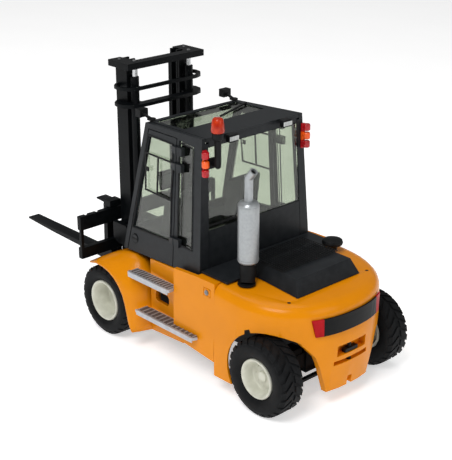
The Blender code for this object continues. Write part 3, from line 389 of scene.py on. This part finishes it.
# -------------------------------------------------------------------- seat
src = frame["nodes"]["driver_seat"]
bm = bmesh.new()
bm.from_mesh(src.data)
bmesh.ops.remove_doubles(bm, verts=bm.verts[:], dist=2e-6)
me = bpy.data.meshes.new("seat_pad")
bm.to_mesh(me)
bm.free()
seat = bpy.data.objects.new("seat_pad", me)
bpy.context.scene.collection.objects.link(seat)
m1 = seat.modifiers.new("grid", "REMESH")
m1.mode = "VOXEL"
m1.voxel_size = 0.7 * MM
m2 = seat.modifiers.new("soft", "SMOOTH")
m2.iterations = 8
m3 = seat.modifiers.new("round", "SUBSURF")
m3.levels = m3.render_levels = 1
dg = bpy.context.evaluated_depsgraph_get()
soft = bpy.data.meshes.new_from_object(seat.evaluated_get(dg))
seat.modifiers.clear()
seat.data = soft
soft.shade_smooth()
slo, shi = mmbox("driver_seat")
# sewn channels across the cushion and back
placed = []
for v in soft.vertices:
    y = v.co.y / MM
    g = sum(math.exp(-((y - ch) / 0.35) ** 2) for ch in (-3.2, 3.2))
    placed.append(v.co - v.normal * (0.28 * g * MM))
for v, p in zip(soft.vertices, placed):
    v.co = p
dress(seat, M["seat"])
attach(seat, "chassis")
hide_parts("driver_seat")

# ------------------------------------------------------------- side detail
for s, sg in SIDES:
    door = "door_" + s

    def wall(x, z, out=0.1):
        return (x, sg * (cab_y(x, z) + out), z)
    outv = (0.06, sg, 0.063)
    # sliding window frame in the door glass
    bm = bmesh.new()
    corners = [(-3.7, 93.2), (-4.3, 76.5), (-22.7, 76.4), (-24.0, 93.4)]
    for a, b in zip(corners, corners[1:] + corners[:1]):
        add_bar(bm, wall(*a), wall(*b), outv, 0.8, 0.35)
    add_bar(bm, wall(-12.95, 77.0), wall(-12.95, 92.7), outv, 0.8, 0.4)
    add_box(bm, (-6.4, min(sg * (cab_y(-5.5, 86) + 0.1), sg * (cab_y(-5.5, 86) + 0.7)), 85.2),
            (-4.7, max(sg * (cab_y(-5.5, 86) + 0.1), sg * (cab_y(-5.5, 86) + 0.7)), 87.2))
    finish_piece("slide_window_frame_" + s, bm, SEAL_AND_SHADE, door, 0.08)
    # door seal round the glass
    bm = bmesh.new()
    corners = [(-5.0, 101.4), (5.15, 55.9), (-23.3, 57.7), (-23.0, 101.4)]
    for a, b in zip(corners, corners[1:] + corners[:1]):
        add_bar(bm, wall(*a), wall(*b), outv, 0.6, 0.25)
    finish_piece("door_seal_" + s, bm, SEAL_AND_SHADE, door, 0.06)
    # quarter glass seal
    bm = bmesh.new()
    corners = [(-28.4, 103.4), (-37.0, 102.8), (-38.6, 58.2), (-28.4, 58.6)]
    for a, b in zip(corners, corners[1:] + corners[:1]):
        add_bar(bm, wall(*a), wall(*b), outv, 0.5, 0.2)
    finish_piece("quarter_seal_" + s, bm, SEAL_AND_SHADE, "chassis", 0.05)
    # door lock: dished ring and paddle
    bm = bmesh.new()
    lx, lz = 3.1, 50.9
    ly = cab_y(lx, lz)
    for k in range(24):
        a0, a1 = 2 * math.pi * k / 24, 2 * math.pi * (k + 1) / 24
        add_bar(bm, (lx + 2.1 * math.cos(a0), sg * (ly + 0.05), lz + 2.1 * math.sin(a0)),
                (lx + 2.1 * math.cos(a1), sg * (ly + 0.05), lz + 2.1 * math.sin(a1)), (0, sg, 0), 0.35, 0.3)
    add_bar(bm, (lx - 1.5, sg * (ly + 0.1), lz), (lx + 1.5, sg * (ly + 0.1), lz), (0, sg, 0), 0.9, 0.35)
    finish_piece("door_lock_" + s, bm, M["black_plastic"], door, 0.06)
    # side panel latch with its round lock
    bm = bmesh.new()
    py = 36.85
    for a, b in (((-54.6, 42.9), (-50.5, 42.9)), ((-50.5, 42.9), (-50.5, 46.4)), ((-50.5, 46.4), (-54.6, 46.4)), ((-54.6, 46.4), (-54.6, 42.9))):
        add_bar(bm, (a[0], sg * py, a[1]), (b[0], sg * py, b[1]), (0, sg, 0), 0.35, 0.22)
    finish_piece("panel_latch_" + s, bm, M["yellow_paint"], "chassis", 0.05)
    bm = bmesh.new()
    add_rod(bm, (-52.55, sg * 36.5, 44.6), (-52.55, sg * 37.25, 44.6), 1.15, 28)
    add_bar(bm, (-53.2, sg * 37.2, 44.6), (-51.9, sg * 37.2, 44.6), (0, sg, 0), 0.3, 0.18)
    finish_piece("panel_lock_" + s, bm, LOCK, "chassis", 0.1)
    # steps: ribbed treads and a thick lip
    for st in ("upper", "lower"):
        node = "%s_step_%s" % (st, s)
        lo, hi = mmbox(node)
        bm = bmesh.new()
        yin, yout = sorted((abs(lo[1]), abs(hi[1])))
        add_box(bm, (lo[0] + 1.0, min(sg * (yin + 0.6), sg * (yout - 1.0)), hi[2] - 0.2),
                (hi[0] - 1.0, max(sg * (yin + 0.6), sg * (yout - 1.0)), hi[2] + 0.08))
        finish_piece(node + "_recess", bm, TREAD, "chassis", 0.0)
        bm = bmesh.new()
        n = 14
        for k in range(n):
            x = lo[0] + 1.6 + (hi[0] - lo[0] - 3.2) * k / (n - 1)
            add_box(bm, (x - 0.3, min(sg * (yin + 0.7), sg * (yout - 1.1)), hi[2] - 0.1),
                    (x + 0.3, max(sg * (yin + 0.7), sg * (yout - 1.1)), hi[2] + 0.3))
        finish_piece(node + "_ribs", bm, ALU, "chassis", 0.06)

# --------------------------------------------------------------- lamp lenses
for s, sg in SIDES:
    lo, hi = mmbox("rear_work_light_" + s)
    bm = bmesh.new()
    for k in range(6):
        y = lo[1] + (hi[1] - lo[1]) * (k + 0.5) / 6
        add_rod(bm, (lo[0] - 0.05, y, lo[2] + 0.7), (lo[0] - 0.05, y, hi[2] - 0.7), (hi[1] - lo[1]) / 15, 12)
    finish_piece("rear_lamp_lens_" + s, bm, WHITE_LENS, "chassis", 0.03)
    lo, hi = mmbox("front_work_light_" + s)
    bm = bmesh.new()
    cz, cy = hi[2] - 1.8, (lo[1] + hi[1]) / 2
    for k in range(5):
        y = cy + (k - 2) * 0.75
        add_rod(bm, (hi[0] + 0.02, y, cz - 1.35), (hi[0] + 0.02, y, cz + 1.35), 0.36, 12)
    finish_piece("front_lamp_lens_" + s, bm, WHITE_LENS, "chassis", 0.03)

# -------------------------------------------------------------------- hood
lo, hi = mmbox("engine_hood")
bm = bmesh.new()
cx, hx, hy = (lo[0] + hi[0]) / 2, (hi[0] - lo[0]) / 2 * 0.5, (hi[1] - lo[1]) / 2 * 0.5
NX, NY = 17, 25
for k in range(NX):
    x = cx - hx + 2 * hx * k / (NX - 1)
    add_box(bm, (x - 0.14, -hy, hi[2] - 0.1), (x + 0.14, hy, hi[2] + 0.09))
for k in range(NY):
    y = -hy + 2 * hy * k / (NY - 1)
    add_box(bm, (cx - hx, y - 0.14, hi[2] - 0.1), (cx + hx, y + 0.14, hi[2] + 0.07))
finish_piece("hood_mesh", bm, M["black_plastic"], "chassis", 0.0)

# near-black disc at the bottom of the exhaust outlet's bore: painted shade for the dark opening
bm = bmesh.new()
add_rod(bm, (-65.7, 24.0, 97.42), (-66.7, 24.0, 98.6), 1.2, 24)
finish_piece("exhaust_bore_painted_shade", bm, SEAL_AND_SHADE, "chassis", 0.05)

# dark discs set in the two lifting holes of the counterweight: painted shade in the holes
bm = bmesh.new()
for s, sg in SIDES:
    add_rod(bm, (-88.35, sg * 24.0, 47.0), (-88.35, sg * 24.0, 48.25), 0.78, 20)
finish_piece("lifting_hole_painted_shade", bm, SEAL_AND_SHADE, "chassis", 0.05)

# ------------------------------------------------------------ muffler bands
lo, hi = mmbox("exhaust_muffler")
mx, my = -64.25, 24.0
bm = bmesh.new()
for z in (60.2, 83.6):
    for k in range(36):
        a0, a1 = 2 * math.pi * k / 36, 2 * math.pi * (k + 1) / 36
        p = (mx + 4.5 * math.cos(a0), my + 4.5 * math.sin(a0), z)
        q = (mx + 4.5 * math.cos(a1), my + 4.5 * math.sin(a1), z)
        add_bar(bm, p, q, (math.cos((a0 + a1) / 2), math.sin((a0 + a1) / 2), 0), 0.35, 0.12)
finish_piece("muffler_bands", bm, M["silver_paint"], "chassis", 0.0)

# ------------------------------------------------------------ mast fittings
ilo, ihi = mmbox("mast_inner")
bm = bmesh.new()
for s, sg in SIDES:
    add_rod(bm, (18.6, sg * 16.1, 121.05), (18.6, sg * 16.1, 125.2), 1.12, 32)
finish_piece("lift_rod_sleeves", bm, M["bright_steel"], "mast_inner", 0.03)
bm = bmesh.new()
for s, sg in SIDES:
    add_rod(bm, (18.6, sg * 16.1, ihi[2] - 0.1), (18.6, sg * 16.1, ihi[2] + 0.5), 0.85, 6)
    add_rod(bm, (25.5, sg * 19.2, ihi[2] - 0.1), (25.5, sg * 19.2, ihi[2] + 0.4), 0.7, 6)
finish_piece("yoke_bolts", bm, LOCK, "mast_inner", 0.05)

# ------------------------------------------------------------ cab interior
dlo, dhi = mmbox("dashboard")
bm = bmesh.new()
add_box(bm, (-5.3, 10.8, 74.2), (-4.6, 20.6, 81.8), Matrix.Rotation(math.radians(-12), 3, "Y"))
finish_piece("display_screen", bm, SCREEN, "chassis", 0.2)
bm = bmesh.new()
for k in range(3):
    y = -12.5 - 2.6 * k
    add_rod(bm, (-18.0, y, slo[2] + 6), (-17.0, y, slo[2] + 17), 0.35, 12)
    add_rod(bm, (-17.0, y, slo[2] + 17), (-16.8, y, slo[2] + 19), 0.8, 16, 0.6)
finish_piece("hydraulic_levers", bm, M["black_plastic"], "chassis", 0.08)

# ---------------------------------------------------------------- wipers
bm = bmesh.new()
rlo, rhi = mmbox("rear_window")
add_bar(bm, (rlo[0] + 0.4, 27.0, 69.6), (rlo[0] + 0.4, 11.5, 69.6), (-1, 0, 0), 0.9, 0.5)
add_bar(bm, (rlo[0] + 0.4, 12.0, 70.0), (rlo[0] + 0.7, 3.5, 80.0), (-1, 0, 0), 0.45, 0.4)
finish_piece("rear_wiper", bm, SEAL_AND_SHADE, "chassis", 0.05)
glo, ghi = mmbox("roof_glass")
bm = bmesh.new()
add_bar(bm, (-20.1, -1.3, ghi[2] + 0.2), (-11.9, -24.0, ghi[2] + 0.2), (0, 0, 1), 1.0, 0.5)
finish_piece("roof_wiper", bm, SEAL_AND_SHADE, "chassis", 0.05)

# ------------------------------------------------------------------ studio
floor = bpy.data.meshes.new("floor")
bm = bmesh.new()
bmesh.ops.create_grid(bm, x_segments=2, y_segments=2, size=6.0)
bm.to_mesh(floor)
bm.free()
fl = bpy.data.objects.new("floor", floor)
bpy.context.scene.collection.objects.link(fl)
fl.location.z = -0.00005
fm = surface("pale_floor", (0.93, 0.93, 0.93), (0.95, 0.95, 0.95), (0.7, 0.8), grain=20, bump=0.0, spec=0.1)
# the floor glows faintly, as a lit white sweep does
fp = fm.node_tree.nodes["Principled BSDF"]
fp.inputs["Emission Color"].default_value = (1, 1, 1, 1)
fp.inputs["Emission Strength"].default_value = 0.5
floor.materials.append(fm)

w = bpy.data.worlds.new("studio")
w.use_nodes = True
w.node_tree.nodes["Background"].inputs["Color"].default_value = (1, 1, 1, 1)
w.node_tree.nodes["Background"].inputs["Strength"].default_value = 0.24
bpy.context.scene.world = w
bpy.context.scene.view_settings.view_transform = "Standard"


def area(name, loc, target, size, power):
    d = bpy.data.lights.new(name, "AREA")
    d.shape = "SQUARE"
    d.size = size
    d.energy = power
    ob = bpy.data.objects.new(name, d)
    bpy.context.scene.collection.objects.link(ob)
    ob.location = loc
    ob.rotation_euler = (Vector(target) - Vector(loc)).to_track_quat("-Z", "Y").to_euler()


area("key", (-0.25, 0.55, 0.75), (0, 0, 0.05), 0.4, 4.4)
area("fill", (-0.8, -0.1, 0.45), (0, 0, 0.06), 0.5, 1.1)
area("top", (0.2, 0.0, 0.95), (0, 0, 0.05), 0.7, 2.4)

cam_data = bpy.data.cameras.new("camera")
cam_data.sensor_fit = "VERTICAL"
cam_data.sensor_height = 36.0
cam_data.lens = 88.483
cam_data.clip_start = 0.01
cam = bpy.data.objects.new("camera", cam_data)
bpy.context.scene.collection.objects.link(cam)
cam.location = at(-375.70, 324.26, 246.29)
look = Vector((0.682, -0.630, -0.372)).normalized()
cam.rotation_euler = look.to_track_quat("-Z", "Y").to_euler()
bpy.context.scene.camera = cam
